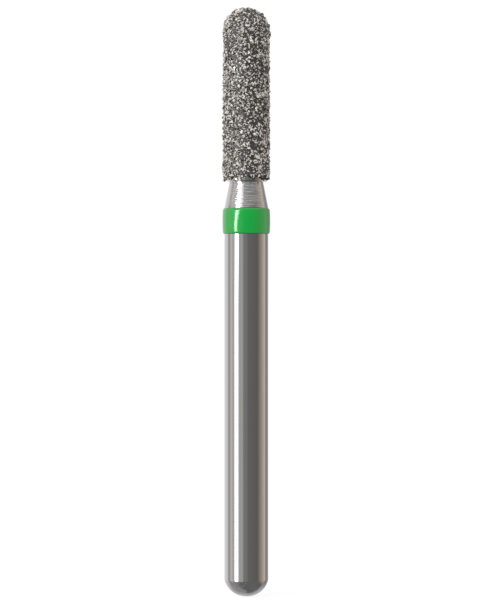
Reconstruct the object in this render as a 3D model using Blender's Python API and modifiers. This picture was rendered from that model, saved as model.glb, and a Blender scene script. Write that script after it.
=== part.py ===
"""A round-end diamond bur on a friction-grip shank, standing on its axis with the shank end at the origin.

It has three pieces: a steel blank turned from one rod, the nickel coating with diamond grains
that is plated on the blank's head, and the lacquered colour band round the shank.
"""

import math
import random

import bmesh
import bpy
import numpy as np
from mathutils import Vector
from mathutils.geometry import delaunay_2d_cdt

MM = 0.001

# Shank
SHANK_DIAMETER = 1.60 * MM
SHANK_LENGTH = 14.13 * MM
END_DOME_HEIGHT = 0.58 * MM

# Neck
NECK_LENGTH = 0.94 * MM
SHOULDER_WIDTH = 0.12 * MM
SHOULDER_HEIGHT = 0.06 * MM

# Core of the head
CORE_DIAMETER = 1.465 * MM
CORE_LENGTH = 6.18 * MM

# Coating
BOND_THICKNESS = 0.07 * MM
GRAIN_PROTRUSION = 0.075 * MM
GRAIN_WIDTH = 0.13 * MM
GRAIN_SPACING = 0.148 * MM
FOOT_RAGGEDNESS = 0.05 * MM
BOND_GAP = 0.01 * MM

# Colour band
BAND_HEIGHT = 0.88 * MM
BAND_THICKNESS = 0.072 * MM
BAND_CROWN = 0.012 * MM
BAND_EDGE_LENGTH = 0.11 * MM
BAND_BELOW_NECK = 0.04 * MM

# Smoothness of the turned faces
SEGMENTS = 48
TIP_STEPS = 9
DOME_STEPS = 7
BAND_STEPS = 4
EDGE_STEPS = 4
MERGE_DISTANCE = 0.0001 * MM
SHARP_ANGLE = math.radians(25)

# How the grains lie: corner reaches are shares of a grain's width, and heights of its protrusion
SEED = 18
GRAIN_CORNERS = (1, 2, 3)
CORNER_REACH = (0.40, 0.55)
FOOT_CLEARANCE = 0.60
GRAIN_HEIGHT = (0.70, 1.20)
CORNER_HEIGHT = (0.88, 1.00)
VALLEY_SHARE = 0.60
VALLEY_HEIGHT = (-0.10, 0.25)
MISSES_BEFORE_FULL = 4000

# Worked out from the sizes above
SHANK_RADIUS = SHANK_DIAMETER / 2
CORE_RADIUS = CORE_DIAMETER / 2
NECK_END_RADIUS = CORE_RADIUS - SHOULDER_WIDTH
BOND_RADIUS = CORE_RADIUS + BOND_THICKNESS
HEAD_RADIUS = BOND_RADIUS + GRAIN_PROTRUSION
NECK_END_Z = SHANK_LENGTH + NECK_LENGTH
HEAD_FOOT_Z = NECK_END_Z + SHOULDER_HEIGHT
CORE_CENTRE_Z = HEAD_FOOT_Z + CORE_LENGTH - CORE_RADIUS
HEAD_TOP_Z = CORE_CENTRE_Z + HEAD_RADIUS

# Colours and finishes
STEEL = {"Base Color": (0.42, 0.40, 0.39, 1), "Metallic": 1.0, "Roughness": 0.22}
DIAMOND = {"Base Color": (0.20, 0.19, 0.18, 1), "Metallic": 0.7, "Roughness": 0.42}
LACQUER = {"Base Color": (0.012, 0.33, 0.055, 1), "Metallic": 0.0, "Roughness": 0.16}


def clear_scene():
    for leftover in list(bpy.data.objects):
        bpy.data.objects.remove(leftover, do_unlink=True)


def new_collection(name):
    collection = bpy.data.collections.new(name)
    bpy.context.scene.collection.children.link(collection)
    return collection


def new_material(name, finish):
    material = bpy.data.materials.new(name)
    material.use_nodes = True
    shader = material.node_tree.nodes["Principled BSDF"]
    for socket, value in finish.items():
        shader.inputs[socket].default_value = value
    return material


def arc(centre, radius, start, end, steps, rise=None):
    """Points of a round stretch in the (r, z) half-plane; its angles are degrees up from +r.

    It is part of a circle, or of an ellipse if its half-height along the axis is given as rise.
    """
    rise = radius if rise is None else rise
    points = []
    for step in range(steps + 1):
        angle = math.radians(start + (end - start) * step / steps)
        points.append((centre[0] + radius * math.cos(angle), centre[1] + rise * math.sin(angle)))
    return points


def lathe(name, outline, collection, closed=False):
    """A turned piece: its outline, outer side first and downwards, carried once round the axis."""
    corners = [(r, 0.0, z) for r, z in outline]
    edges = [(i, i + 1) for i in range(len(corners) - 1)]
    if closed:
        edges.append((len(corners) - 1, 0))
    mesh = bpy.data.meshes.new(name)
    mesh.from_pydata(corners, edges, [])
    piece = bpy.data.objects.new(name, mesh)
    collection.objects.link(piece)
    screw = piece.modifiers.new("turn", "SCREW")
    screw.axis = "Z"
    screw.angle = math.tau
    screw.steps = SEGMENTS
    screw.render_steps = SEGMENTS
    screw.use_merge_vertices = True
    screw.merge_threshold = MERGE_DISTANCE
    screw.use_smooth_shade = True
    return piece


def shade_by_angle(piece):
    """Turned faces look round, and the edges between them crisp."""
    evaluated = piece.evaluated_get(bpy.context.evaluated_depsgraph_get())
    mesh = bpy.data.meshes.new_from_object(evaluated)
    mesh.shade_smooth()
    mesh.set_sharp_from_angle(angle=SHARP_ANGLE)
    piece.modifiers.clear()
    piece.data = mesh


def core_outline(clearance=0.0):
    """The head core's side, from its round tip down to its foot, grown outwards by a clearance."""
    radius = CORE_RADIUS + clearance
    return arc((0.0, CORE_CENTRE_Z), radius, 90, 0, TIP_STEPS) + [(radius, HEAD_FOOT_Z)]


def end_dome_outline():
    """The shank's rounded end: part of a ball that meets the shank's side at an edge."""
    ball = (SHANK_RADIUS**2 + END_DOME_HEIGHT**2) / (2 * END_DOME_HEIGHT)
    edge = math.degrees(math.asin((END_DOME_HEIGHT - ball) / ball))
    return arc((0.0, ball), ball, edge, -90, DOME_STEPS)


def make_blank(collection):
    """One rod turned down: head core, shoulder, neck cone, shank and domed end."""
    outline = core_outline()
    outline.append((NECK_END_RADIUS, NECK_END_Z))
    outline.append((SHANK_RADIUS, SHANK_LENGTH))
    outline += end_dome_outline()
    blank = lathe("steel_blank", outline, collection)
    blank.data.materials.append(new_material("turned_steel", STEEL))
    shade_by_angle(blank)
    return blank


def band_outline():
    """The band's section: a slightly crowned face whose ends round off down to the shank."""
    top = SHANK_LENGTH - BAND_BELOW_NECK
    bottom = top - BAND_HEIGHT
    inner = SHANK_RADIUS + BOND_GAP
    outer = SHANK_RADIUS + BAND_THICKNESS
    depth = outer - BAND_CROWN - inner
    half = BAND_HEIGHT / 2 - BAND_EDGE_LENGTH
    crown = (half**2 + BAND_CROWN**2) / (2 * BAND_CROWN)
    sweep = math.degrees(math.asin(half / crown))
    outline = arc((inner, top - BAND_EDGE_LENGTH), depth, 90, 0, EDGE_STEPS, BAND_EDGE_LENGTH)[:-1]
    outline += arc((outer - crown, (top + bottom) / 2), crown, sweep, -sweep, BAND_STEPS)
    outline += arc((inner, bottom + BAND_EDGE_LENGTH), depth, 0, -90, EDGE_STEPS, BAND_EDGE_LENGTH)[1:]
    return outline


def make_band(collection):
    """The green band of lacquer that marks a coarse grit."""
    band = lathe("colour_band", band_outline(), collection, closed=True)
    band.data.materials.append(new_material("green_lacquer", LACQUER))
    shade_by_angle(band)
    return band


def lie_on_head(point, radius):
    """The place nearest to a point on the head's form, which is a cylinder with a round end."""
    middle = Vector((0.0, 0.0, min(point.z, CORE_CENTRE_Z)))
    outward = (point - middle).normalized()
    return middle + outward * radius


def laid_flat(point):
    """A place on the head, opened out into a disc: the tip is its middle and the foot its edge.

    Each small patch keeps its shape and only shrinks towards the middle, as on a chart of a globe,
    so joining neighbours on the disc joins neighbours on the head.
    """
    middle_z = min(point.z, CORE_CENTRE_Z)
    outward = (point - Vector((0.0, 0.0, middle_z))).normalized()
    latitude = math.asin(outward.z)
    climb = (middle_z - HEAD_FOOT_Z) / HEAD_RADIUS + math.asinh(math.tan(latitude))
    away = Vector((outward.x, outward.y)).normalized()
    return away * math.exp(-climb)


def joined(points):
    """Triangles, as index triples, that join points on the head to their neighbours."""
    chart = [laid_flat(point) for point in points]
    _, _, faces, _, _, _ = delaunay_2d_cdt(chart, [], [], 0, 0.0)
    return faces


def scattered_centres(rng):
    """Grain centres thrown at random on the head, each GRAIN_SPACING or more from the others."""
    lowest = HEAD_FOOT_Z + GRAIN_WIDTH * FOOT_CLEARANCE
    placed = np.empty((0, 3))
    misses = 0
    while misses < MISSES_BEFORE_FULL:
        z = rng.uniform(lowest, HEAD_TOP_Z)
        turn = rng.uniform(0.0, math.tau)
        width = math.sqrt(max(HEAD_RADIUS**2 - max(z - CORE_CENTRE_Z, 0.0) ** 2, 0.0))
        spot = np.array([width * math.cos(turn), width * math.sin(turn), z])
        if len(placed) and np.linalg.norm(placed - spot, axis=1).min() < GRAIN_SPACING:
            misses += 1
            continue
        placed = np.vstack([placed, spot])
        misses = 0
    return [Vector(spot) for spot in placed]


def foot_ring():
    """The coating's lower edge, as an even ring round the foot of the head."""
    ring = []
    for i in range(SEGMENTS):
        turn = math.tau * i / SEGMENTS
        ring.append(Vector((BOND_RADIUS * math.cos(turn), BOND_RADIUS * math.sin(turn), HEAD_FOOT_Z)))
    return ring


def ragged(ring, rng):
    """The lower edge as the last grains leave it: here and there a grain hangs out and down."""
    edge = []
    for point in ring:
        grain = rng.random()
        outward = Vector((point.x, point.y, 0.0)).normalized()
        hang = Vector((0.0, 0.0, -FOOT_RAGGEDNESS))
        edge.append(point + (outward * GRAIN_PROTRUSION + hang) * grain)
    return edge


def grain_corners(centre, rng):
    """The raised corners of one crystal: a point, an edge or a three-cornered face."""
    outward = (centre - Vector((0.0, 0.0, min(centre.z, CORE_CENTRE_Z)))).normalized()
    across = outward.orthogonal().normalized()
    along = outward.cross(across)
    height = GRAIN_PROTRUSION * rng.uniform(*GRAIN_HEIGHT)
    count = rng.choice(GRAIN_CORNERS)
    start = rng.uniform(0.0, math.tau)
    corners = []
    for i in range(count):
        reach = GRAIN_WIDTH * rng.uniform(*CORNER_REACH) if count > 1 else 0.0
        turn = start + math.tau * i / count
        spot = centre + (across * math.cos(turn) + along * math.sin(turn)) * reach
        corners.append(lie_on_head(spot, BOND_RADIUS + height * rng.uniform(*CORNER_HEIGHT)))
    return corners


def valley_points(centres, rng):
    """Low places in the nickel between three neighbouring grains."""
    valleys = []
    for corners in joined(centres):
        if rng.random() > VALLEY_SHARE:
            continue
        spot = sum((centres[i] for i in corners), Vector()) / 3
        height = GRAIN_PROTRUSION * rng.uniform(*VALLEY_HEIGHT)
        valleys.append(lie_on_head(spot, BOND_RADIUS + height))
    return valleys


def gritty_slug(name, collection):
    """The head's outer surface of grains and bond, closed across its foot."""
    rng = random.Random(SEED)
    centres = scattered_centres(rng)
    foot = foot_ring()
    points = []
    for centre in centres:
        points += grain_corners(centre, rng)
    points += valley_points(centres, rng)
    faces = joined(foot + points)
    form = bmesh.new()
    corners = [form.verts.new(point) for point in ragged(foot, rng) + points]
    for face in faces:
        form.faces.new([corners[i] for i in face])
    form.faces.new(corners[:SEGMENTS])
    bmesh.ops.recalc_face_normals(form, faces=form.faces)
    mesh = bpy.data.meshes.new(name)
    form.to_mesh(mesh)
    form.free()
    slug = bpy.data.objects.new(name, mesh)
    collection.objects.link(slug)
    return slug


def core_cutter(collection):
    """The room that the core takes out of the coating, carried on below the coating's ragged edge."""
    outline = core_outline(BOND_GAP)
    below = HEAD_FOOT_Z - 2 * FOOT_RAGGEDNESS
    outline.append((CORE_RADIUS + BOND_GAP, below))
    outline.append((0.0, below))
    cutter = lathe("core_cutter", outline, collection)
    cutter.hide_render = True
    cutter.display_type = "WIRE"
    return cutter


def make_coating(collection, cutters):
    """Nickel plating with diamond grains, a cap that fits over the core."""
    coating = gritty_slug("diamond_coating", collection)
    coating.data.materials.append(new_material("diamond_in_nickel", DIAMOND))
    bore = coating.modifiers.new("core", "BOOLEAN")
    bore.operation = "DIFFERENCE"
    bore.solver = "EXACT"
    bore.object = core_cutter(cutters)
    return coating


def main():
    clear_scene()
    bur = new_collection("diamond_bur")
    cutters = new_collection("cutters")
    make_blank(bur)
    make_coating(bur, cutters)
    make_band(bur)


main()
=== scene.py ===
# %% [markdown]
# # Dressing a diamond bur
#
# A friction-grip bur is one slim steel rod, just over 21 mm long, with a mirror-bright shank, a
# turned neck, a ring of green lacquer and a head of diamond grit held in nickel. The frame gives
# its solids. This lesson makes each finish as it is on the real instrument, so most of the work is
# in small shapes that catch the light. Lengths are in metres, and +Z runs from shank end to tip.

# %% Load the frame
import math
import random
from itertools import pairwise

import bmesh
import bpy
import numpy as np
from mathutils import Euler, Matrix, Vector, noise
from mathutils.kdtree import KDTree


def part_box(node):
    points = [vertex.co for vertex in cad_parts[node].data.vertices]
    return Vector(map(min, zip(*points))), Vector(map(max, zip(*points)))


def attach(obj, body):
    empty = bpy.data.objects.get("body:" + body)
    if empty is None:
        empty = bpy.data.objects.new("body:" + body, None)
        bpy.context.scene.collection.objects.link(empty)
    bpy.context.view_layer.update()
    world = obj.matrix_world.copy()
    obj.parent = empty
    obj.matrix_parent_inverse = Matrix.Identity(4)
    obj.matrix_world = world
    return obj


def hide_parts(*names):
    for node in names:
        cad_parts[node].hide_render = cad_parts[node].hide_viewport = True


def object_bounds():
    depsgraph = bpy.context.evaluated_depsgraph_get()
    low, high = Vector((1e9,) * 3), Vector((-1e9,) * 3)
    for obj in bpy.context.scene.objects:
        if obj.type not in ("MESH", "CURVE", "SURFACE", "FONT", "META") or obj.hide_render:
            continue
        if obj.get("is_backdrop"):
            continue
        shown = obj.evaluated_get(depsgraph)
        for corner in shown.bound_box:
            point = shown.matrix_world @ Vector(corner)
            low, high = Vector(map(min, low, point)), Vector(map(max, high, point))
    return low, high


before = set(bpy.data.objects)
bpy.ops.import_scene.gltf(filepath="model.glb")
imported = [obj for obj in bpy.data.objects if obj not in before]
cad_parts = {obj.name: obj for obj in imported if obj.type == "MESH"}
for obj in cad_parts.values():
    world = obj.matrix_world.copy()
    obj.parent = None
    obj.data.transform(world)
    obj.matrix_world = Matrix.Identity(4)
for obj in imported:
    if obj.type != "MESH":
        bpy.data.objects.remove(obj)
cad_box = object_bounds()
MM = 0.001
MICRON = 0.000001
print("nodes:", sorted(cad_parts))

# %% [markdown]
# ## Sizes come from the frame
#
# The solids already have the right sizes, so nothing is measured twice. A turned piece is a stack
# of rings, and where they get narrower tells where the dome, the neck and the core begin. Numbers
# copied by hand would miss a change of the frame. Only the dome's rim is lifted a little, to where
# the real one lies.

# %% Read the turned sizes
SAME_HEIGHT = 2 * MICRON
RIM_LIFT = 0.026 * MM
BOND_THICKNESS = 0.07 * MM


def rings_of(name):
    """(height, widest radius) of each ring of corners of a turned node, from the top down."""
    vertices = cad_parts[name].data.vertices
    corners = sorted(((v.co.z, math.hypot(v.co.x, v.co.y)) for v in vertices), reverse=True)
    rings = []
    for height, radius in corners:
        if not rings or rings[-1][0] - height > SAME_HEIGHT:
            rings.append([height, radius])
        rings[-1][1] = max(rings[-1][1], radius)
    return rings


blank = rings_of("steel_blank")
SHANK_RADIUS = max(radius for _, radius in blank)
shank_heights = [height for height, radius in blank if radius > SHANK_RADIUS - SAME_HEIGHT]
DOME_EDGE_Z = min(shank_heights) + RIM_LIFT
NECK_START_Z = max(shank_heights)
above_shank = [ring for ring in blank if ring[0] > NECK_START_Z + SAME_HEIGHT]
NECK_END_Z, NECK_END_RADIUS = above_shank[-1]
CORE_FOOT_Z, CORE_RADIUS = above_shank[-2]
CORE_CENTRE_Z = blank[0][0] - CORE_RADIUS
BOND_RADIUS = CORE_RADIUS + BOND_THICKNESS
band_low, band_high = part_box("colour_band")
print(f"shank {2 * SHANK_RADIUS / MM:.3f} mm across, dome edge at {DOME_EDGE_Z / MM:.3f} mm")
print(f"neck from {NECK_START_Z / MM:.2f} to {NECK_END_Z / MM:.2f} mm")

# %% [markdown]
# ## Where the photographer stood
#
# The bur stands upright and is seen straight from the side with a long lens. The picture shows
# 21.84 mm in height, a little more than the bur. A longer or shorter lens would change how much
# the dome's edge bows, and 100 mm away gives the bow that the real picture has.

# %% Camera
CAMERA_DISTANCE = 100 * MM
PICTURE_PIXELS = 600
PIXELS_PER_MM = 27.47
PICTURE_HEIGHT = PICTURE_PIXELS / PIXELS_PER_MM * MM
CAMERA_HEIGHT = 10.782 * MM
CAMERA_ASIDE = 0.005 * MM
SENSOR = 36.0


def new_object(name, data):
    """An object with that name and data, linked to the scene."""
    made = bpy.data.objects.new(name, data)
    bpy.context.scene.collection.objects.link(made)
    return made


def make_camera():
    data = bpy.data.cameras.new("camera")
    data.sensor_width = SENSOR
    data.lens = SENSOR * CAMERA_DISTANCE / PICTURE_HEIGHT
    data.clip_start = 1 * MM
    data.clip_end = 100
    camera = new_object("camera", data)
    camera.location = (CAMERA_ASIDE, -CAMERA_DISTANCE, CAMERA_HEIGHT)
    camera.rotation_euler = (math.radians(90), 0, 0)
    return camera


bpy.context.scene.camera = make_camera()
bpy.context.scene.view_settings.view_transform = "Standard"
print(f"lens {bpy.context.scene.camera.data.lens:.1f} mm")

# %% [markdown]
# ## A small helper for nodes
#
# Materials here are nodes made in code. One function makes a node, sets its options and fills its
# sockets, and a socket that is given another node's output is linked instead.

# %% Node helper


def add(tree, kind, inputs=None, **options):
    """A node of that kind, with its options set and its inputs given as values or linked."""
    node = tree.nodes.new(kind)
    for option, value in options.items():
        setattr(node, option, value)
    for socket, value in (inputs or {}).items():
        if isinstance(value, bpy.types.NodeSocket):
            tree.links.new(value, node.inputs[socket])
        else:
            node.inputs[socket].default_value = value
    return node


def math_node(tree, operation, *values):
    """One step of arithmetic, and its result."""
    return add(tree, "ShaderNodeMath", dict(enumerate(values)), operation=operation).outputs[0]


def mix_colours(tree, share, first, second):
    """first where share is 0 and second where it is 1."""
    inputs = {0: share, 6: first, 7: second}
    return add(tree, "ShaderNodeMix", inputs, data_type="RGBA").outputs[2]


def seen_directly(tree):
    """1 for camera, mirror and glass rays, and 0 for rays that only bring light."""
    path = add(tree, "ShaderNodeLightPath").outputs
    mirrored = math_node(tree, "MAXIMUM", path["Is Glossy Ray"], path["Is Transmission Ray"])
    return math_node(tree, "MAXIMUM", path["Is Camera Ray"], mirrored)


# %% [markdown]
# ## Plain soft light
#
# The picture was taken in a white tent: light comes from everywhere, a little more of it from
# the upper left. The world gives the even part, a very soft and slightly cool sun the rest, and a
# faint warm sun fills the right side. They come to about 1, so that a colour renders as it is
# written. The background is white because camera rays see the world at a strength of 1. The suns
# leave no glint: a mirror shows the tent's wall, which the next step makes.

# %% World and two suns
EVEN_LIGHT = 0.54
KEY_LIGHT = 0.52
KEY_SOFTNESS = 50
KEY_FROM = (-0.76, -0.70, 0.62)
KEY_COLOUR = (0.965, 1.0, 1.015)
FILL_LIGHT = 0.07
FILL_SOFTNESS = 60
FILL_FROM = (0.90, -0.50, 0.30)
FILL_COLOUR = (1.0, 0.97, 0.93)


def make_world():
    world = bpy.data.worlds.new("white_room")
    bpy.context.scene.world = world
    world.use_nodes = True
    tree = world.node_tree
    strength = math_node(tree, "MAXIMUM", seen_directly(tree), EVEN_LIGHT)
    tree.links.new(strength, tree.nodes["Background"].inputs["Strength"])
    tree.nodes["Background"].inputs["Color"].default_value = (1, 1, 1, 1)
    world.cycles.sampling_method = "NONE"


def make_sun(name, level, softness, place, colour):
    """A very soft lamp that shines from that side and leaves no glint."""
    data = bpy.data.lights.new(name, "SUN")
    data.energy = level * math.pi
    data.color = colour
    data.angle = math.radians(softness)
    lamp = new_object(name, data)
    lamp.rotation_euler = Vector(place).to_track_quat("Z", "Y").to_euler()
    lamp.visible_glossy = False


make_world()
make_sun("key", KEY_LIGHT, KEY_SOFTNESS, KEY_FROM, KEY_COLOUR)
make_sun("fill", FILL_LIGHT, FILL_SOFTNESS, FILL_FROM, FILL_COLOUR)
print(f"light level: {EVEN_LIGHT + KEY_LIGHT:.2f}")

# %% [markdown]
# ## The tent that the steel reflects
#
# Polished steel has no colour of its own: its stripes are the studio. The dark stripe is the
# unlit side of the room behind the camera, and the bright one is a tall strip light on the left.
# Lacquer mirrors only a few per cent of it, so the strip's core is hot enough to shine there too.
# The core ends low, where the neck's slope doesn't see it. Real cards could stand there one by
# one. Here one big sphere holds them all as painted brightness, seen only by reflections, so that
# it neither lights nor hides anything. Azimuth 0 is at the camera, and it grows to the right.

# %% Reflection tent
TENT_RADIUS = 0.4
TENT_COLUMNS = 360
TENT_ROWS = 90
WHITE_WALL = (0.97, 0.96, 0.97)
# Cards at eye level: from, to, and their brightness at the left and the right edge
CARDS = (
    (-180, -134, WHITE_WALL, (0.93, 0.92, 0.93)),
    (-130, -117, (0.94, 0.91, 0.93), (0.90, 0.87, 0.90)),
    (-110, -96, (0.55, 0.51, 0.50), (0.47, 0.43, 0.40)),
    (-92, -83, (0.73, 0.70, 0.66), (0.75, 0.75, 0.70)),
    (-80, -62, (0.58, 0.59, 0.56), (0.60, 0.60, 0.58)),
    (-50, -19, (0.54, 0.55, 0.52), (0.50, 0.505, 0.49)),
    (-15, 3, (0.285, 0.288, 0.277), (0.25, 0.252, 0.248)),
    (9, 60, (0.19, 0.188, 0.19), (0.165, 0.154, 0.150)),
    (63, 95, (0.205, 0.180, 0.162), (0.565, 0.480, 0.395)),
    (96, 115, (0.575, 0.490, 0.410), (0.80, 0.71, 0.65)),
    (118, 140, (0.37, 0.335, 0.32), (0.34, 0.32, 0.32)),
    (160, 180, (0.62, 0.61, 0.64), WHITE_WALL),
)
# The strip's two sides, and how far each leans to the right for every degree up, to LEAN_END
STRIP_LEFT = -65.2
STRIP_RIGHT = -42.0
LEFT_LEAN = 0.55
RIGHT_LEAN = 1.15
LEAN_END = 18
STRIP_BOTTOM = (-25, -9)
STRIP_TOP = (50, 74)
STRIP_BLUR = 0.8
# A little short of green, so that its line on the green lacquer stays pale
STRIP_COLOUR = np.array((1.0, 0.95, 1.0))
RIM_GLOW = 1.5
RIM_WIDTH = 5.6
CORE_GLOW = 14.0
CORE_BLUR = 2.0
CORE_TOP = (11, 17)
CEILING = 0.92
CEILING_RISE = (13, 52)
FLOOR_FALL = (22, 40)
FLOOR_FRONT = 0.22
FLOOR_LEFT = (0.46, 0.45, 0.46)
FLOOR_LEFT_TURN = (35, 75)
FLOOR_BACK = (0.72, 0.71, 0.73)
FLOOR_BACK_REACH = (0.22, 0.55)


def ramp(values, start, end):
    """0 up to start, 1 from end on, and a smooth rise between them."""
    share = np.clip((values - start) / (end - start), 0, 1)
    return (share * share * (3 - 2 * share))[..., None]


def blend(share, first, second):
    return first * (1 - share) + second * share


def eye_level(azimuth):
    """Brightness of the cards at eye level, as rows of red, green and blue."""
    edges = [angle for card in CARDS for angle in card[:2]]
    shades = np.array([shade for card in CARDS for shade in card[2:]])
    return np.stack([np.interp(azimuth, edges, shades[:, i]) for i in range(3)], axis=-1)


def under_foot(azimuth, elevation):
    """Brightness of what lies below: dark in front, paler to the left, pale behind."""
    front = np.cos(np.radians(azimuth))
    left = ramp(-azimuth, *FLOOR_LEFT_TURN)
    low = blend(left, FLOOR_FRONT, np.array(FLOOR_LEFT))
    behind = ramp(-front * np.cos(np.radians(elevation)), *FLOOR_BACK_REACH)
    return blend(behind, low, np.array(FLOOR_BACK))


def strip(azimuth, elevation, inset, blur):
    """1 inside the strip light, made narrower on both sides by an inset, and 0 outside it."""
    rise = np.clip(elevation, 0, LEAN_END)
    right = STRIP_RIGHT + RIGHT_LEAN * rise - inset
    left = STRIP_LEFT + LEFT_LEAN * rise + inset
    inside = ramp(azimuth - left, -blur, blur)
    inside = inside * (1 - ramp(azimuth - right, -blur, blur))
    return inside * ramp(elevation, *STRIP_BOTTOM) * (1 - ramp(elevation, *STRIP_TOP))


def tent_glow(azimuth, elevation):
    """Brightness of the whole tent, for arrays of directions in degrees."""
    glow = eye_level(azimuth)
    glow = blend(ramp(elevation, *CEILING_RISE), glow, CEILING)
    glow = blend(ramp(-elevation, *FLOOR_FALL), glow, under_foot(azimuth, elevation))
    glow = blend(strip(azimuth, elevation, 0, STRIP_BLUR), glow, RIM_GLOW * STRIP_COLOUR)
    core = strip(azimuth, elevation, RIM_WIDTH, CORE_BLUR) * (1 - ramp(elevation, *CORE_TOP))
    return blend(core, glow, CORE_GLOW * STRIP_COLOUR)


def make_tent():
    """A sphere of corners, one degree apart round it, each painted with its brightness."""
    wide = TENT_COLUMNS + 1
    azimuth, elevation = np.meshgrid(
        np.linspace(-180, 180, wide), np.linspace(-90, 90, TENT_ROWS + 1)
    )
    side = np.radians(azimuth)
    rise = np.radians(elevation)
    spots = np.stack(
        [np.sin(side) * np.cos(rise), -np.cos(side) * np.cos(rise), np.sin(rise)], axis=-1
    )
    spots = spots.reshape(-1, 3) * TENT_RADIUS + np.array([0, 0, CAMERA_HEIGHT])
    faces = [
        (row * wide + i, row * wide + i + 1, (row + 1) * wide + i + 1, (row + 1) * wide + i)
        for row in range(TENT_ROWS)
        for i in range(TENT_COLUMNS)
    ]
    mesh = bpy.data.meshes.new("tent")
    mesh.from_pydata(spots.tolist(), [], faces)
    glow = mesh.attributes.new("glow", "FLOAT_COLOR", "POINT")
    shades = np.ones((len(spots), 4), np.float32)
    shades[:, :3] = tent_glow(azimuth, elevation).reshape(-1, 3)
    glow.data.foreach_set("color", shades.ravel())
    return new_object("tent", mesh)


def glowing_material(name):
    """A material with an empty node tree, whose glow isn't counted as a lamp."""
    material = bpy.data.materials.new(name)
    material.use_nodes = True
    material.cycles.emission_sampling = "NONE"
    material.node_tree.nodes.clear()
    return material, material.node_tree


def tent_material():
    material, tree = glowing_material("tent_cloth")
    paint = add(tree, "ShaderNodeAttribute", attribute_name="glow")
    lit = add(tree, "ShaderNodeEmission", {"Color": paint.outputs["Color"], "Strength": 1.0})
    add(tree, "ShaderNodeOutputMaterial", {"Surface": lit.outputs[0]})
    return material


tent = make_tent()
tent.data.materials.append(tent_material())
for ray in ("camera", "diffuse", "shadow", "transmission", "volume_scatter"):
    setattr(tent, f"visible_{ray}", False)
tent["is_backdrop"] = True
print(f"tent: {len(CARDS)} cards")

# %% [markdown]
# ## The floor
#
# A plain pale sheet under the shank end, wide enough to meet the background out of sight. Its
# own white share makes it as white as the room, and the rest is ordinary matte paper, which keeps
# a soft shadow round the foot. Reflections look past it to the tent.

# %% Floor
FLOOR_SIZE = 8.0
FLOOR_SQUARES = 8
FLOOR_DROP = 1 * MICRON
PAPER = (0.90, 0.90, 0.90, 1)
OWN_WHITE = 0.84
FLOOR_GLOW = 1.08


def make_floor():
    form = bmesh.new()
    bmesh.ops.create_grid(
        form, x_segments=FLOOR_SQUARES, y_segments=FLOOR_SQUARES, size=FLOOR_SIZE / 2
    )
    mesh = bpy.data.meshes.new("floor")
    form.to_mesh(mesh)
    form.free()
    floor = new_object("floor", mesh)
    floor.location.z = -FLOOR_DROP
    floor.visible_glossy = False
    return floor


def paper_material():
    material, tree = glowing_material("floor_paper")
    paper = add(tree, "ShaderNodeBsdfDiffuse", {"Color": PAPER})
    white = add(tree, "ShaderNodeEmission", {"Strength": FLOOR_GLOW})
    share = math_node(tree, "MULTIPLY", seen_directly(tree), OWN_WHITE)
    both = add(tree, "ShaderNodeMixShader", {0: share, 1: paper.outputs[0], 2: white.outputs[0]})
    add(tree, "ShaderNodeOutputMaterial", {"Surface": both.outputs[0]})
    return material


floor = make_floor()
floor.data.materials.append(paper_material())
floor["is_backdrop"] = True
print(f"floor: {FLOOR_SIZE:.0f} m wide")

# %% [markdown]
# ## Three effects that several finishes share
#
# Tool marks, fine grain and uneven tint turn up on more than one surface here. Each is a node
# group, built once, and every material that uses it sets its own values. The patterns read the
# object's own coordinates, so they stay put on the metal.

# %% Group helper


def new_group(name, inputs, outputs):
    """An empty node group with those inputs and start values, and with those outputs."""
    group = bpy.data.node_groups.new(name, "ShaderNodeTree")
    for label, value in inputs.items():
        kind = "NodeSocketColor" if isinstance(value, tuple) else "NodeSocketFloat"
        socket = group.interface.new_socket(label, in_out="INPUT", socket_type=kind)
        socket.default_value = value
    for label in outputs:
        kind = "NodeSocketColor" if label == "Colour" else "NodeSocketFloat"
        group.interface.new_socket(label, in_out="OUTPUT", socket_type=kind)
    entry = group.nodes.new("NodeGroupInput")
    leave = group.nodes.new("NodeGroupOutput")
    return group, entry.outputs, leave.inputs


def use(tree, group, **inputs):
    """That group placed in a material, with its inputs filled, and its outputs."""
    return add(tree, "ShaderNodeGroup", inputs, node_tree=group).outputs


def spread(tree, value, low, high):
    """A value between low and high, stretched to 0 to 1 and held there."""
    inputs = {"Value": value, "From Min": low, "From Max": high}
    return add(tree, "ShaderNodeMapRange", inputs).outputs["Result"]


def own_place(tree):
    """Where a spot lies on the object itself."""
    return add(tree, "ShaderNodeTexCoord").outputs["Object"]


def clouds(tree, place, scale, detail):
    """Smooth noise round 0.5 at that place."""
    inputs = {"Vector": place, "Scale": scale, "Detail": detail}
    return add(tree, "ShaderNodeTexNoise", inputs).outputs["Fac"]


# %% [markdown]
# ### Turning marks
#
# A lathe tool leaves fine rings that each run some way round and fade. Noise that is squeezed
# along the axis and drawn out across it gives just that, and it has no seam, which a pattern laid
# out by angle would have.

# %% Turning marks group
STREAK_CONTRAST = (0.38, 0.62)


def make_turning_marks():
    inputs = {"Along": 20000.0, "Around": 1500.0, "Detail": 2.0}
    group, given, result = new_group("turning_marks", inputs, ("Height", "Streaks"))
    sides = {0: given["Around"], 1: given["Around"], 2: given["Along"]}
    squeeze = add(group, "ShaderNodeCombineXYZ", sides).outputs[0]
    where = {0: own_place(group), 1: squeeze}
    where = add(group, "ShaderNodeVectorMath", where, operation="MULTIPLY").outputs[0]
    marks = clouds(group, where, 1.0, given["Detail"])
    group.links.new(marks, result["Height"])
    group.links.new(spread(group, marks, *STREAK_CONTRAST), result["Streaks"])
    return group


turning_marks = make_turning_marks()
print("group:", turning_marks.name)

# %% [markdown]
# ### Fine grain
#
# Blasted steel, plated nickel and lacquer are all a little rough at a few microns. Plain noise
# is enough for it: the height feeds a bump, and the mask varies the gloss.

# %% Fine grain group
GRAIN_CONTRAST = (0.35, 0.65)


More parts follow.
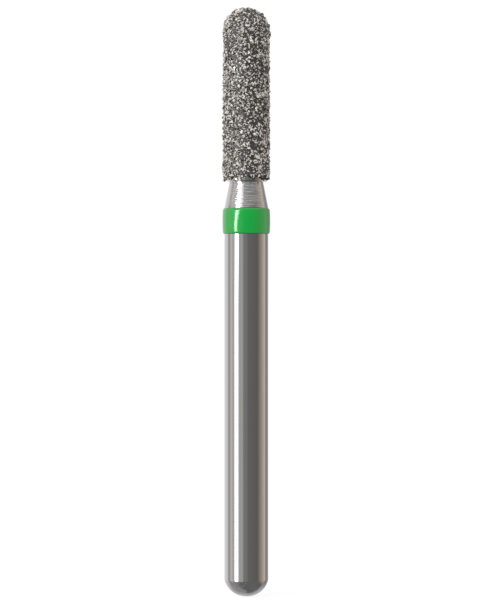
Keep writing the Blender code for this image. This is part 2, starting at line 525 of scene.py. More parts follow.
def make_fine_grain():
    inputs = {"Scale": 40000.0, "Detail": 3.0}
    group, given, result = new_group("fine_grain", inputs, ("Height", "Mask"))
    grain = clouds(group, own_place(group), given["Scale"], given["Detail"])
    group.links.new(grain, result["Height"])
    group.links.new(spread(group, grain, *GRAIN_CONTRAST), result["Mask"])
    return group


fine_grain = make_fine_grain()
print("group:", fine_grain.name)

# %% [markdown]
# ### Uneven tint
#
# No metal or lacquer has quite one colour. This group drifts between a colour and its tint in
# soft patches, by an amount that each material chooses.

# %% Patchy tint group
MID_GREY = (0.5, 0.5, 0.5, 1)
TINT_CONTRAST = (0.40, 0.62)
TINT_DETAIL = 2.0


def make_patchy_tint():
    inputs = {"Colour": MID_GREY, "Tint": MID_GREY, "Scale": 3000.0, "Amount": 0.5}
    group, given, result = new_group("patchy_tint", inputs, ("Colour",))
    patches = clouds(group, own_place(group), given["Scale"], TINT_DETAIL)
    share = math_node(group, "MULTIPLY", spread(group, patches, *TINT_CONTRAST), given["Amount"])
    group.links.new(mix_colours(group, share, given["Colour"], given["Tint"]), result["Colour"])
    return group


patchy_tint = make_patchy_tint()
print("group:", patchy_tint.name)

# %% [markdown]
# ## A lathe in code
#
# Shank, neck, band and nickel are all turned shapes: an outline carried round the axis. A Screw
# modifier could turn them, but single corners are moved afterwards for tool marks and nodules, so
# the rings are made directly. Real edges are never quite sharp, and a tiny curve at each corner
# gives a rim its thin line of light.

# %% Lathe
POLE = 0.01 * MICRON


def arc(centre, radius, start, end, steps, rise=None):
    """Points of a round stretch, in degrees up from the horizontal; rise makes it an ellipse."""
    rise = radius if rise is None else rise
    angles = np.radians(np.linspace(start, end, steps + 1))
    return [(centre[0] + radius * math.cos(a), centre[1] + rise * math.sin(a)) for a in angles]


def eased(outline, corner, width, steps=4):
    """The outline with that corner turned into a small curve, and held straight beside it."""
    before, point, after = (np.array(outline[corner + i]) for i in (-1, 0, 1))
    back = (before - point) / np.linalg.norm(before - point)
    on = (after - point) / np.linalg.norm(after - point)
    curve = [point + back * 2 * width]
    for step in range(steps + 1):
        t = step / steps
        curve.append(point + back * width * (1 - t) ** 2 + on * width * t**2)
    curve.append(point + on * 2 * width)
    return outline[:corner] + [tuple(spot) for spot in curve] + outline[corner + 1 :]


def lathe(name, outline, segments, closed=False):
    """A turned mesh from its outline, outer side first and downwards; a pole is one corner."""
    turns = np.linspace(0, math.tau, segments, endpoint=False)
    corners = []
    rows = []
    for radius, height in outline:
        first = len(corners)
        if radius < POLE:
            corners.append((0.0, 0.0, height))
            rows.append([first] * segments)
        else:
            corners += [(radius * math.cos(t), radius * math.sin(t), height) for t in turns]
            rows.append(list(range(first, first + segments)))
    if closed:
        rows.append(rows[0])
    faces = []
    for upper, lower in pairwise(rows):
        for i in range(segments):
            j = (i + 1) % segments
            faces.append(tuple(dict.fromkeys((upper[i], lower[i], lower[j], upper[j]))))
    mesh = bpy.data.meshes.new(name)
    mesh.from_pydata(corners, [], faces)
    mesh.shade_smooth()
    return new_object(name, mesh)


def corners_of(mesh):
    """All corners of a mesh as rows of x, y and z."""
    spots = np.empty(len(mesh.vertices) * 3, np.float32)
    mesh.vertices.foreach_get("co", spots)
    return spots.reshape(-1, 3).astype(float)


def put_corners(mesh, spots):
    """Moves all corners of a mesh to those places."""
    mesh.vertices.foreach_set("co", spots.astype(np.float32).ravel())
    mesh.update()


# %% [markdown]
# ## The steel rod
#
# Shank, neck and core are one rod, turned, then polished on the shank and blasted on its domed
# end. So it is one mesh with three finishes, and not three pieces. The neck gets a ring of corners
# every few microns for its tool marks, and the plain shank needs only a few rings. The dome is a
# little fuller than a slice of a ball, so its middle is pushed out from the ball's centre.

# %% Rod outline
ROD_SEGMENTS = 256
EDGE_WIDTH = 0.010 * MM
NECK_RINGS = 160
DOME_RINGS = 28
CORE_RINGS = 12
SHANK_RINGS = 24
DOME_BULGE = 0.012 * MM


def straight(start, end, steps):
    """Points between two ends, without the ends."""
    shares = np.linspace(0, 1, steps + 1)[1:-1]
    return [tuple(np.array(start) * (1 - s) + np.array(end) * s) for s in shares]


def fuller(points, centre, bulge):
    """A round stretch pushed out from its centre, most in its middle and not at its ends."""
    shares = np.sin(np.linspace(0, math.pi, len(points)))[:, None]
    away = np.array(points) - centre
    outward = away / np.linalg.norm(away, axis=1, keepdims=True)
    return [tuple(spot) for spot in np.array(points) + outward * bulge * shares]


def rod_outline():
    """The rod's side from the core's round tip down to the middle of the domed end."""
    ball = (SHANK_RADIUS**2 + DOME_EDGE_Z**2) / (2 * DOME_EDGE_Z)
    edge = math.degrees(math.asin((DOME_EDGE_Z - ball) / ball))
    core = arc((0.0, CORE_CENTRE_Z), CORE_RADIUS, 90, 0, CORE_RINGS)
    edges = [(CORE_RADIUS, CORE_FOOT_Z), (NECK_END_RADIUS, NECK_END_Z)]
    edges += [(SHANK_RADIUS, NECK_START_Z), (SHANK_RADIUS, DOME_EDGE_Z)]
    dome = fuller(arc((0.0, ball), ball, edge, -90, DOME_RINGS), (0.0, ball), DOME_BULGE)
    outline = core + edges + dome[1:]
    for i in reversed(range(len(edges))):
        outline = eased(outline, len(core) + i, EDGE_WIDTH)
    return outline


def filled(outline, low, high, steps):
    """The outline with extra rings on its longest straight run between those heights."""
    for i, (upper, lower) in enumerate(pairwise(outline)):
        if low <= lower[1] and upper[1] <= high and upper[1] - lower[1] > (high - low) / 2:
            return outline[: i + 1] + straight(upper, lower, steps) + outline[i + 1 :]
    return outline


outline = rod_outline()
outline = filled(outline, NECK_START_Z, NECK_END_Z, NECK_RINGS)
outline = filled(outline, DOME_EDGE_Z, NECK_START_Z, SHANK_RINGS)
rod = lathe("steel_rod", outline, ROD_SEGMENTS)
print(f"steel_rod: {len(outline)} rings, {len(rod.data.polygons)} faces")

# %% [markdown]
# ### Tool marks on the neck
#
# The neck was left as turned. Close up, it is covered with short shallow grooves that each run
# a part of the way round, with a burr pushed up on both sides, or a ridge between two of them. A
# bump map could draw them. Here each is added to the radius, so it is real shape.

# %% Cut the tool marks
MARK_SEED = 5
MARK_COUNT = 280
MARK_DEPTH = 1.9 * MICRON
MARK_WIDTH = (11 * MICRON, 22 * MICRON)
MARK_RUN = (8, 30)
# Below 0 a mark is a groove between burrs, and above 0 a ridge between grooves
MARK_STRENGTHS = (-1.0, -0.8, 0.5, 0.9)


def cut_marks(mesh):
    """Short grooves and ridges round the neck, each a few microns deep."""
    rng = random.Random(MARK_SEED)
    spots = corners_of(mesh)
    radius = np.hypot(spots[:, 0], spots[:, 1])
    turn = np.arctan2(spots[:, 1], spots[:, 0])
    on_neck = (spots[:, 2] > NECK_START_Z) & (spots[:, 2] < NECK_END_Z)
    change = np.zeros(len(spots))
    for _ in range(MARK_COUNT):
        height = rng.uniform(NECK_START_Z, NECK_END_Z)
        middle = rng.uniform(-math.pi, math.pi)
        width = rng.uniform(*MARK_WIDTH)
        run = math.radians(rng.uniform(*MARK_RUN))
        depth = MARK_DEPTH * rng.choice(MARK_STRENGTHS)
        away = (turn - middle + math.pi) % math.tau - math.pi
        beside = ((spots[:, 2] - height) / width) ** 2
        change += depth * (1 - 2 * beside) * np.exp(-beside) * np.exp(-((away / run) ** 4))
    grown = np.where(on_neck, (radius + change) / np.maximum(radius, POLE), 1.0)
    spots[:, :2] *= grown[:, None]
    put_corners(mesh, spots)


cut_marks(rod.data)
print(f"tool marks: {MARK_COUNT}")

# %% [markdown]
# ### The nicked rim of the domed end
#
# Where the blasted dome meets the polished shank, handling and blasting have left tiny nicks.
# The rim's rings move up and down by a few microns, in waves of several lengths, and the rings
# beside it less and less.

# %% Nick the rim
NICK_SEED = 3
NICK_DEPTH = 5 * MICRON
NICK_REACH = 0.035 * MM
NICK_WAVES = (7, 13, 19, 31, 43)


def nick_rim(mesh):
    """The dome's rim moved up and down a little round the rod."""
    rng = random.Random(NICK_SEED)
    spots = corners_of(mesh)
    turn = np.arctan2(spots[:, 1], spots[:, 0])
    wave = sum(np.sin(turn * count + rng.uniform(0, math.tau)) for count in NICK_WAVES)
    near = np.exp(-(((spots[:, 2] - DOME_EDGE_Z) / NICK_REACH) ** 2))
    spots[:, 2] += NICK_DEPTH * wave * near / 2
    put_corners(mesh, spots)


nick_rim(rod.data)
print(f"rim nicks: {len(NICK_WAVES)} waves")

# %% [markdown]
# ### Three steel finishes
#
# All three are the same steel and fully metallic, so roughness and relief tell them apart. The
# shank is a mirror with the faintest polishing lines, and the neck is satin with streaks across.
# The blasted end is dull, and a little darker, because its pits trap some light.

# %% Steel materials
STEEL = (0.600, 0.597, 0.594, 1)
STEEL_WARM = (0.596, 0.588, 0.580, 1)
NECK_STEEL = (0.600, 0.592, 0.584, 1)
BLASTED_STEEL = (0.50, 0.495, 0.495, 1)
BLASTED_DARK = (0.40, 0.395, 0.395, 1)


def new_material(name):
    """A new material, its node tree and its shader."""
    material = bpy.data.materials.new(name)
    material.use_nodes = True
    return material, material.node_tree, material.node_tree.nodes["Principled BSDF"]


def finish(tree, shader, colour, relief, depth, gloss, roughness, **plain):
    """Links what changes over the surface: colour, relief, and roughness by a gloss mask."""
    inputs = {"Value": gloss, "To Min": roughness[0], "To Max": roughness[1]}
    rough = add(tree, "ShaderNodeMapRange", inputs).outputs["Result"]
    bump = add(tree, "ShaderNodeBump", {"Height": relief, "Strength": 1.0, "Distance": depth})
    tree.links.new(colour, shader.inputs["Base Color"])
    tree.links.new(rough, shader.inputs["Roughness"])
    tree.links.new(bump.outputs[0], shader.inputs["Normal"])
    for label, value in plain.items():
        shader.inputs[label].default_value = value


def steel(name, tint, marks, mask, depth, roughness):
    """A steel finish from its uneven tint and from the group that gives relief and gloss."""
    material, tree, shader = new_material(name)
    colour = use(tree, patchy_tint, **tint)["Colour"]
    given = use(tree, **marks)
    finish(tree, shader, colour, given["Height"], depth, given[mask], roughness, Metallic=1.0)
    return material


def polished_steel():
    tint = {"Colour": STEEL, "Tint": STEEL_WARM, "Scale": 900.0, "Amount": 0.5}
    marks = {"group": turning_marks, "Along": 26000.0, "Around": 700.0}
    return steel("polished_steel", tint, marks, "Streaks", 0.02 * MICRON, (0.014, 0.030))


def turned_steel():
    tint = {"Colour": NECK_STEEL, "Tint": STEEL, "Scale": 6000.0, "Amount": 0.8}
    marks = {"group": turning_marks, "Along": 30000.0, "Around": 3200.0}
    return steel("turned_steel", tint, marks, "Streaks", 6.5 * MICRON, (0.07, 0.24))


def blasted_steel():
    tint = {"Colour": BLASTED_STEEL, "Tint": BLASTED_DARK, "Scale": 5000.0, "Amount": 0.6}
    marks = {"group": fine_grain, "Scale": 26000.0}
    return steel("blasted_steel", tint, marks, "Mask", 1.2 * MICRON, (0.13, 0.20))


def finish_rod(mesh):
    """Each face takes the finish of its stretch: shank, neck and core, or domed end."""
    for material in (polished_steel(), turned_steel(), blasted_steel()):
        mesh.materials.append(material)
    for face in mesh.polygons:
        height = face.center.z
        if height > NECK_START_Z:
            face.material_index = 1
        elif height < DOME_EDGE_Z - EDGE_WIDTH / 2:
            face.material_index = 2


finish_rod(rod.data)
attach(rod, "root")
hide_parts("steel_blank")
print("steel finishes:", [material.name for material in rod.data.materials])

# %% [markdown]
# ## The green band
#
# A ring of lacquer marks the grit's grade. It was rolled on wet, so it is a low barrel whose
# ends round off down to the steel and creep a little way along it, past the ends of the solid.
# Its thickness wanders by a micron or two. A torus or a bevelled cylinder would have the wrong
# section, so it is turned from its own outline. Its colour carries a painted sheen, paler where
# it is seen at a slant, and a painted shade, dark at its thin ends where it meets the steel.

# %% Band
BAND_EDGE_LENGTH = 0.11 * MM
BAND_CROWN = 0.012 * MM
BAND_INSET = 1 * MICRON
BAND_SEGMENTS = 256
BAND_END_RINGS = 12
BAND_FACE_RINGS = 24
BAND_SEED = 9
BAND_WANDER = 1.5 * MICRON
# Each wave's count round the band, and its radians per metre along it
BAND_WAVES = ((2, 900), (3, -2500), (5, 4000), (1, 7000))
LACQUER_CREEP = 0.030 * MM
LACQUER = (0.002, 0.408, 0.052, 1)
LACQUER_DEEP = (0.002, 0.380, 0.049, 1)
# Painted shade for the band's thin ends, where it meets the steel
LACQUER_END_SHADE = (0.010, 0.035, 0.012, 1)
SHADED_END_WIDTH = 0.036 * MM
# Painted sheen, mixed into the colour where the lacquer is seen at a slant
LACQUER_PAINTED_SHEEN = (0.10, 0.36, 0.12, 1)
PAINTED_SHEEN_GROWTH = 1.4
LACQUER_IOR = 1.56

band_top = band_high.z + LACQUER_CREEP
band_bottom = band_low.z - LACQUER_CREEP


def band_outline():
    """The crowned face between two long rounded ends, closed along the steel."""
    inner = SHANK_RADIUS - BAND_INSET
    outer = band_high.x
    depth = outer - BAND_CROWN - inner
    half = (band_top - band_bottom) / 2 - BAND_EDGE_LENGTH
    crown = (half**2 + BAND_CROWN**2) / (2 * BAND_CROWN)
    sweep = math.degrees(math.asin(half / crown))
    top = (inner, band_top - BAND_EDGE_LENGTH)
    bottom = (inner, band_bottom + BAND_EDGE_LENGTH)
    middle = (outer - crown, (band_top + band_bottom) / 2)
    points = arc(top, depth, 90, 0, BAND_END_RINGS, BAND_EDGE_LENGTH)[:-1]
    points += arc(middle, crown, sweep, -sweep, BAND_FACE_RINGS)
    points += arc(bottom, depth, 0, -90, BAND_END_RINGS, BAND_EDGE_LENGTH)[1:]
    return points


def wander(mesh, seed, amount, waves):
    """A turned face made slightly uneven round it and along it."""
    rng = random.Random(seed)
    spots = corners_of(mesh)
    turn = np.arctan2(spots[:, 1], spots[:, 0])
    change = np.zeros(len(spots))
    for around, along in waves:
        phase = rng.uniform(0, math.tau)
        change += np.sin(turn * around + spots[:, 2] * along + phase)
    radius = np.hypot(spots[:, 0], spots[:, 1])
    grown = 1 + amount * change / len(waves) / radius * (radius > SHANK_RADIUS)
    spots[:, :2] *= grown[:, None]
    put_corners(mesh, spots)


def store(mesh, domain, name, values):
    """Stores one number for each corner or face, which a material reads by that name."""
    layer = mesh.attributes.new(name, "FLOAT", domain)
    layer.data.foreach_set("value", np.array(values, np.float32))


def mark_shaded_ends(mesh):
    """Stores how near each corner is to one of the band's two ends, for the painted shade there.
    """
    heights = corners_of(mesh)[:, 2]
    nearest = np.minimum(heights - band_bottom, band_top - heights)
    store(mesh, "POINT", "end", np.clip(1 - nearest / SHADED_END_WIDTH, 0, 1))


def stored(tree, name):
    """The numbers stored under that name."""
    return add(tree, "ShaderNodeAttribute", attribute_name=name).outputs["Fac"]


def green_lacquer():
    material, tree, shader = new_material("green_lacquer")
    body = use(tree, patchy_tint, Colour=LACQUER, Tint=LACQUER_DEEP, Scale=2500.0, Amount=0.7)
    # A painted sheen: the colour turns paler the more the lacquer is seen at a slant
    slant = add(tree, "ShaderNodeLayerWeight", {"Blend": 0.5}).outputs["Facing"]
    growth = {0: slant, 1: PAINTED_SHEEN_GROWTH}
    painted_sheen = add(tree, "ShaderNodeMath", growth, operation="MULTIPLY", use_clamp=True).outputs[0]
    with_painted_sheen = mix_colours(tree, painted_sheen, body["Colour"], LACQUER_PAINTED_SHEEN)
    # A painted shade darkens the lacquer at its two thin ends, where it meets the steel
    colour = mix_colours(tree, stored(tree, "end"), with_painted_sheen, LACQUER_END_SHADE)
    grain = use(tree, fine_grain, Scale=9000.0, Detail=1.0)
    relief = (grain["Height"], 0.5 * MICRON, grain["Mask"])
    finish(tree, shader, colour, *relief, (0.10, 0.13), IOR=LACQUER_IOR)
    return material


band = lathe("green_band", band_outline(), BAND_SEGMENTS, closed=True)
mark_shaded_ends(band.data)
wander(band.data, BAND_SEED, BAND_WANDER, BAND_WAVES)
band.data.materials.append(green_lacquer())
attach(band, "root")
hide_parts("colour_band")
print(f"green_band: {len(band.data.polygons)} faces, {2 * band_high.x / MM:.3f} mm across")

# %% [markdown]
# ## Diamond grains
#
# A synthetic diamond grows as a cube whose corners are cut off by flat faces, and many grains
# are chipped as well. Slicing a cube with planes gives exactly such crystals, with truly flat
# facets. A noisy ball would look like a pebble. Each grain on the head is one of some thirty
# different ones, turned and stretched its own way.

# %% Cut the crystals
CRYSTAL_SEED = 11
CRYSTAL_KINDS = 28
CORNERS_CUT = (3, 4, 5)
CORNER_DEPTH = (0.40, 0.62)
CORNER_TILT = 0.22
CHIPS = (0, 1, 1, 2)
CHIP_DEPTH = (0.24, 0.40)
SAME_CORNER = 0.01
CUBE_CORNERS = [Vector((x, y, z)) for x in (-1, 1) for y in (-1, 1) for z in (-1, 1)]


def random_vector(rng):
    """A direction picked evenly from all directions."""
    return Vector([rng.gauss(0, 1) for _ in range(3)]).normalized()


def slice_off(form, direction, distance):
    """Cuts away what lies beyond a plane, and closes the cut with one flat face."""
    everything = form.verts[:] + form.edges[:] + form.faces[:]
    bmesh.ops.bisect_plane(
        form, geom=everything, plane_co=direction * distance, plane_no=direction, clear_outer=True
    )
    bmesh.ops.holes_fill(form, edges=form.edges[:])


def cut_crystal(rng):
    """(corners, faces) of one crystal, about one unit wide."""
    form = bmesh.new()
    bmesh.ops.create_cube(form, size=1.0)
    for corner in rng.sample(CUBE_CORNERS, rng.choice(CORNERS_CUT)):
        direction = (corner.normalized() + random_vector(rng) * CORNER_TILT).normalized()
        slice_off(form, direction, rng.uniform(*CORNER_DEPTH))
    for _ in range(rng.choice(CHIPS)):
        slice_off(form, random_vector(rng), rng.uniform(*CHIP_DEPTH))
    bmesh.ops.remove_doubles(form, verts=form.verts[:], dist=SAME_CORNER)
    bmesh.ops.recalc_face_normals(form, faces=form.faces[:])
    form.verts.index_update()
    corners = np.array([v.co[:] for v in form.verts])
    faces = [[v.index for v in face.verts] for face in form.faces]
    form.free()
    return corners - corners.mean(axis=0), faces


rng = random.Random(CRYSTAL_SEED)
crystals = [cut_crystal(rng) for _ in range(CRYSTAL_KINDS)]
print(f"crystals: {len(crystals)} kinds")

# %% [markdown]
# ### Scatter them over the head
#
# Grains settle in the plating bath as close as they fit. Throwing darts does the same: a spot
# counts if it is far enough from every grain already there, large grains first and small ones in
# what is left. On a cylinder with a round end of its own radius, an even height and an even turn
# give spots that are even over the surface.

# %% Scatter the grains
SCATTER_SEED = 21
GRAIN_WIDTHS = (0.135, 0.125, 0.115, 0.105, 0.096, 0.088, 0.080, 0.072)
CLOSENESS = 0.430
MISSES = (60, 120, 200, 350, 600, 800, 1000, 1400)
FOOT_ROOM = 0.30
LIP_HIGH = 0.150 * MM
LIP_MIDDLE = 0.45
LIP_SWING = 0.4
# Each wave's count round the foot, its share and its phase
LIP_WAVES = ((10, 1.0, 4.8), (17, 0.45, 1.0), (29, 0.30, 2.5))


def lip_height(turn):
    """How far above the core's foot the coating ends, at that turn round the axis."""
    wave = sum(share * np.sin(turn * count + phase) for count, share, phase in LIP_WAVES)
    return LIP_HIGH * np.clip(LIP_MIDDLE + LIP_SWING * wave, 0.0, 1.0)


def head_point(height, turn, radius):
    """A spot on the head's form: a cylinder with a round end."""
    width = math.sqrt(max(radius**2 - max(height - CORE_CENTRE_Z, 0.0) ** 2, 0.0))
    return np.array([width * math.cos(turn), width * math.sin(turn), height])


def scatter_grains(rng):
    """Spots and widths of the grains, as arrays."""
    spots = np.empty((0, 3))
    widths = np.empty(0)
    top = CORE_CENTRE_Z + BOND_RADIUS
    for width, allowed in zip(GRAIN_WIDTHS, MISSES):
        width *= MM
        missed = 0
        while missed < allowed:
            height = rng.uniform(CORE_FOOT_Z + width * FOOT_ROOM, top)
            turn = rng.uniform(0, math.tau)
            spot = head_point(height, turn, BOND_RADIUS)
            room = (widths + width) * CLOSENESS
            off_lip = height < CORE_FOOT_Z + lip_height(turn) + width * FOOT_ROOM
            if off_lip or np.any(np.linalg.norm(spots - spot, axis=1) < room):
                missed += 1
                continue
            spots = np.vstack([spots, spot])
            widths = np.append(widths, width)
            missed = 0
    return spots, widths


grain_spots, grain_widths = scatter_grains(random.Random(SCATTER_SEED))
print(f"grains: {len(grain_spots)}, mean width {grain_widths.mean() / MM:.3f} mm")

# %% [markdown]
# ### Set them into the nickel
#
# Each grain is turned at random and sunk until its highest corner stands as far out as its
# neighbours' do, within some spread. Soft noise makes the whole head a little lumpy, but no grain
# sinks so far that the nickel would cover it. All are one mesh, because 2,500 objects would be
# slow. Every facet stores numbers for the material: a facet with a painted dark inside beside one
# with a painted flash is what makes grit look like grit.

# %% Set the grains
PLACE_SEED = 33
STRETCH = (0.60, 1.40)
SMALL_STAND = 0.028 * MM
LARGE_STAND = 0.062 * MM
TALLEST_STAND = 0.104 * MM
STAND_SPREAD = 0.016 * MM
LUMP_SIZE = 0.10 * MM
LUMP_HEIGHT = 0.055 * MM
LOWEST_STAND = 0.014 * MM
# Facet tones: pale ones are a painted flash, dark ones a painted dark inside
PAINTED_FLASH_FACET = (0.60, 1.00)
PAINTED_DARK_FACET = (0.00, 0.45)
PLATED_SHARE = 0.015


def from_middle(spot):
    """The way to a spot from the head's axis, or from the centre of its round end."""
    return spot - np.array([0, 0, min(spot[2], CORE_CENTRE_Z)])


def outward_at(spot):
    """The head's outward direction at a spot."""
    away = from_middle(spot)
    return away / np.linalg.norm(away)


def place_grain(rng, spot, width):
    """Corners of one grain in place, and its faces."""
    corners, faces = rng.choice(crystals)
    turned = np.array(Euler([rng.uniform(0, math.tau) for _ in range(3)]).to_matrix())
    stretch = np.array([rng.uniform(*STRETCH) for _ in range(3)])
    shape = (corners * stretch * width) @ turned.T
    outward = outward_at(spot)
    tallest = (shape @ outward).max()
    share = (width / MM - GRAIN_WIDTHS[-1]) / (GRAIN_WIDTHS[0] - GRAIN_WIDTHS[-1])
    stand = SMALL_STAND + (LARGE_STAND - SMALL_STAND) * share
    stand += rng.uniform(-STAND_SPREAD, STAND_SPREAD)
    stand += LUMP_HEIGHT * noise.noise(Vector(spot / LUMP_SIZE))
    stand = min(max(stand, LOWEST_STAND), TALLEST_STAND)
    return shape + spot + outward * (stand - tallest), faces


def facet_tones(rng, shape, faces, outward):
    """Painted flash and painted dark inside by turns round the grain, so that facets side by side
    differ.
    """
    across = np.cross(outward, (0.0, 0.0, 1.0) if abs(outward[2]) < 0.9 else (1.0, 0.0, 0.0))
    along = np.cross(outward, across)
    sides = np.array([shape[face].mean(axis=0) for face in faces]) - shape.mean(axis=0)
    order = np.argsort(np.arctan2(sides @ along, sides @ across))
    tones = [0.0] * len(faces)
    for place, face in enumerate(order):
        tones[face] = rng.uniform(*(PAINTED_FLASH_FACET if place % 2 else PAINTED_DARK_FACET))
    return tones


def make_grains(rng):
    """All grains as one mesh, with three numbers stored for each facet."""
    corners, faces, tone, facet, plated = ([] for _ in range(5))
    for spot, width in zip(grain_spots, grain_widths):
        shape, sides = place_grain(rng, spot, width)
        first = len(corners)
        corners += shape.tolist()
        faces += [[first + i for i in side] for side in sides]
        tone += [rng.random()] * len(sides)
        plated += [float(rng.random() < PLATED_SHARE)] * len(sides)
        facet += facet_tones(rng, shape, sides, outward_at(spot))
    mesh = bpy.data.meshes.new("diamond_grains")
    mesh.from_pydata(corners, [], faces)
    store(mesh, "FACE", "tone", tone)
    store(mesh, "FACE", "facet", facet)
    store(mesh, "FACE", "plated", plated)
    return new_object("diamond_grains", mesh)


grains = make_grains(random.Random(PLACE_SEED))
print(f"diamond_grains: {len(grains.data.polygons)} facets")

# %% [markdown]
# ### What a grain is made of
#
# Diamond bends light so strongly that a facet shows either the sky, a dark inside or a flash.
# Clear crystals would need many bounces of light for that. Opaque facets with some gloss stand
# in for them, with their own tones painted on: pale ones are a painted flash and dark ones a
# painted dark inside, which look the same at this size. Most are chipped, so small cells break
# each one into lighter and darker pieces. A few grains carry a thin skin of nickel and are partly
# metallic. Colours drift from grey to olive, tan and a little pink.

# %% Grain material
DARK_GRAIN = (0.038, 0.036, 0.034, 1)
PALE_GRAIN = (0.735, 0.690, 0.648, 1)
NO_TINT = (1.0, 1.0, 1.0, 1)
OLIVE = (0.97, 1.00, 0.92, 1)
ROSE = (1.00, 0.94, 0.945, 1)
TAN = (1.00, 0.95, 0.89, 1)
CHIP_SCALE = 27500.0
CHIP_STRETCH = (1.0, 0.46, 0.46)
CHIP_TURNS = (40.0, 70.0, 110.0)
CHIP_SHARE = 0.80
CHIP_CONTRAST = (0.40, 0.60)
OLIVE_TONES = (0.70, 1.0)
ROSE_TONES = (0.20, 0.0)
PLATED_METAL = 0.6
DIAMOND_IOR = 1.55


def chipped(tree, facet, tone):
    """A facet's own tone broken up by its chips, which lie another way on each grain."""
    turn = add(tree, "ShaderNodeVectorMath", {0: CHIP_TURNS, "Scale": tone}, operation="SCALE")
    inputs = {"Vector": own_place(tree), "Rotation": turn.outputs[0]}
    turned = add(tree, "ShaderNodeVectorRotate", inputs, rotation_type="EULER_XYZ").outputs[0]
    drawn = add(tree, "ShaderNodeVectorMath", {0: turned, 1: CHIP_STRETCH}, operation="MULTIPLY")
    cells = add(tree, "ShaderNodeTexVoronoi", {"Vector": drawn.outputs[0], "Scale": CHIP_SCALE})
    cell = add(tree, "ShaderNodeSeparateColor", {"Color": cells.outputs["Color"]}).outputs[0]
    chip = math_node(tree, "MULTIPLY", cell, CHIP_SHARE)
    both = math_node(tree, "MULTIPLY_ADD", facet, 1 - CHIP_SHARE, chip)
    return spread(tree, both, *CHIP_CONTRAST)


def diamond_material():
    material, tree, shader = new_material("diamond_grain")
    tone = stored(tree, "tone")
    facet = stored(tree, "facet")
    body = mix_colours(tree, chipped(tree, facet, tone), DARK_GRAIN, PALE_GRAIN)
    tint = use(tree, patchy_tint, Colour=NO_TINT, Tint=TAN, Scale=2500.0, Amount=0.8)["Colour"]
    tint = mix_colours(tree, spread(tree, tone, *OLIVE_TONES), tint, OLIVE)
    tint = mix_colours(tree, spread(tree, tone, *ROSE_TONES), tint, ROSE)
    both = {0: 1.0, 6: body, 7: tint}
    colour = add(tree, "ShaderNodeMix", both, data_type="RGBA", blend_type="MULTIPLY").outputs[2]
    metal = math_node(tree, "MULTIPLY", stored(tree, "plated"), PLATED_METAL)
    tree.links.new(metal, shader.inputs["Metallic"])
    relief = (use(tree, fine_grain, Scale=60000.0)["Height"], 1.0 * MICRON)
    finish(tree, shader, colour, *relief, facet, (0.20, 0.40), IOR=DIAMOND_IOR)
    return material


grains.data.materials.append(diamond_material())
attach(grains, "root")
print("grain material:", grains.data.materials[0].name)

# %% [markdown]
# ## The nickel that holds the grains
#
# Nickel grows on the core in small round nodules and creeps up the side of each grain. A smooth
# cylinder between the crystals would look like glue. Here it is a fine grid of corners, each
# raised by how near the next grain is and by a field of tiny mounds.

# %% Nickel outline
NICKEL_SEGMENTS = 300
NICKEL_STEP = 0.032 * MM
TIP_RINGS = 44
INNER_GAP = 0.010 * MM
LIP_RADIUS = 0.028 * MM
LIP_RINGS = 4


def nickel_outline():
    """The cap's outside from the tip down, round its foot and up the inside."""
    outside = arc((0.0, CORE_CENTRE_Z), BOND_RADIUS, 90, 0, TIP_RINGS)
    foot = CORE_FOOT_Z + LIP_RADIUS
    steps = round((CORE_CENTRE_Z - foot) / NICKEL_STEP)
    outside += straight((BOND_RADIUS, CORE_CENTRE_Z), (BOND_RADIUS, foot), steps)
    outside += arc((BOND_RADIUS - LIP_RADIUS, foot), LIP_RADIUS, 0, -90, LIP_RINGS)
    inner = CORE_RADIUS + INNER_GAP
    inside = [(inner, CORE_FOOT_Z), (inner, (CORE_FOOT_Z + CORE_CENTRE_Z) / 2)]
    inside += arc((0.0, CORE_CENTRE_Z), inner, 0, 90, CORE_RINGS)
    return outside + inside


nickel = lathe("nickel_bond", nickel_outline(), NICKEL_SEGMENTS)
print(f"nickel_bond: {len(nickel.data.polygons)} faces")

# %% [markdown]
# ### Grow the nodules
#
# A search tree finds the nearest grain and the nearest mound for each corner, which is far
# quicker than comparing every pair.

# %% Raise the nickel
NODULE_SEED = 44
NODULE_COUNT = 9000
NODULE_HEIGHT = 7 * MICRON
NODULE_REACH = 0.030 * MM
CLIMB = 0.015 * MM
CLIMB_REACH = 0.040 * MM


def search_tree(points):
    tree = KDTree(len(points))
    for i, point in enumerate(points):
        tree.insert(point, i)
    tree.balance()
    return tree


def nodule_spots(rng):
    top = CORE_CENTRE_Z + BOND_RADIUS
    heights = [rng.uniform(CORE_FOOT_Z, top) for _ in range(NODULE_COUNT)]
    return [head_point(height, rng.uniform(0, math.tau), BOND_RADIUS) for height in heights]


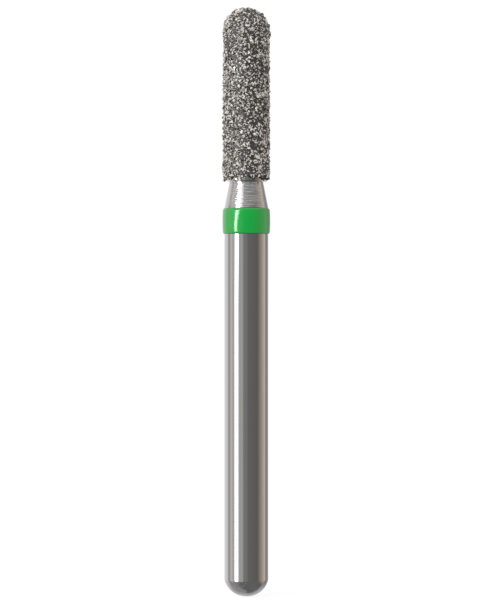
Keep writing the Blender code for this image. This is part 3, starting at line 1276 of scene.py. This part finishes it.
def grow_nickel(mesh):
    """Moves the outside's corners outwards, and stores how deep each lies between grains, for a
    painted shade there.
    """
    rng = random.Random(NODULE_SEED)
    grain_tree = search_tree(grain_spots)
    nodule_tree = search_tree(nodule_spots(rng))
    spots = corners_of(mesh)
    valley_shade = np.zeros(len(spots), np.float32)
    for i, spot in enumerate(spots):
        if np.linalg.norm(from_middle(spot)) < CORE_RADIUS + 2 * INNER_GAP:
            continue
        _, near, distance = grain_tree.find(spot)
        gap = max(distance - grain_widths[near] / 2, 0.0)
        climb = max(1 - gap / CLIMB_REACH, 0.0) ** 2
        _, _, to_nodule = nodule_tree.find(spot)
        mound = max(1 - (to_nodule / NODULE_REACH) ** 2, 0.0)
        valley_shade[i] = 1 - climb
        spots[i] += outward_at(spot) * (CLIMB * climb + NODULE_HEIGHT * mound)
    turn = np.arctan2(spots[:, 1], spots[:, 0])
    low = np.clip(1 - (spots[:, 2] - CORE_FOOT_Z) / (2 * LIP_HIGH), 0, 1)
    spots[:, 2] += lip_height(turn) * low
    put_corners(mesh, spots)
    store(mesh, "POINT", "valley_shade", valley_shade)


grow_nickel(nickel.data)
print(f"nodules: {NODULE_COUNT}")

# %% [markdown]
# ### Nickel plate
#
# Plated nickel is a warm grey metal, dulled by its nodules. A full metal would mirror the dark
# room as black patches here, so it is only half metallic. Its colour is darker deep between the
# grains, a painted shade where little light reaches, and plain where it climbs them.

# %% Nickel material
NICKEL = (0.100, 0.095, 0.090, 1)
# Painted shade, for the nickel deep between the grains
NICKEL_SHADE = (0.030, 0.028, 0.026, 1)
NICKEL_WARM = (0.085, 0.073, 0.062, 1)
NICKEL_METAL = 0.5


def nickel_material():
    material, tree, shader = new_material("nickel_plate")
    # Painted shade: the colour darkens where the nickel lies deep between grains
    shaded = mix_colours(tree, stored(tree, "valley_shade"), NICKEL, NICKEL_SHADE)
    colour = use(tree, patchy_tint, Colour=shaded, Tint=NICKEL_WARM, Scale=4000.0, Amount=0.25)
    grain = use(tree, fine_grain, Scale=50000.0)
    relief = (grain["Height"], 2.0 * MICRON, grain["Mask"])
    finish(tree, shader, colour["Colour"], *relief, (0.45, 0.62), Metallic=NICKEL_METAL)
    return material


nickel.data.materials.append(nickel_material())
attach(nickel, "root")
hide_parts("diamond_coating")
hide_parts("diamond_coating")
print("nickel material:", nickel.data.materials[0].name)

# %% [markdown]
# ## Close the lesson
#
# The dressed bur has to stay the size that the frame says. Both boxes are measured, and the
# last lines print their sizes.

# %% Sizes and finish
dressed_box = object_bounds()
boxes = {
    "cad": [list(corner) for corner in cad_box],
    "visual": [list(corner) for corner in dressed_box],
}
for name, (low, high) in boxes.items():
    print(name, "mm:", [round((b - a) / MM, 3) for a, b in zip(low, high)])
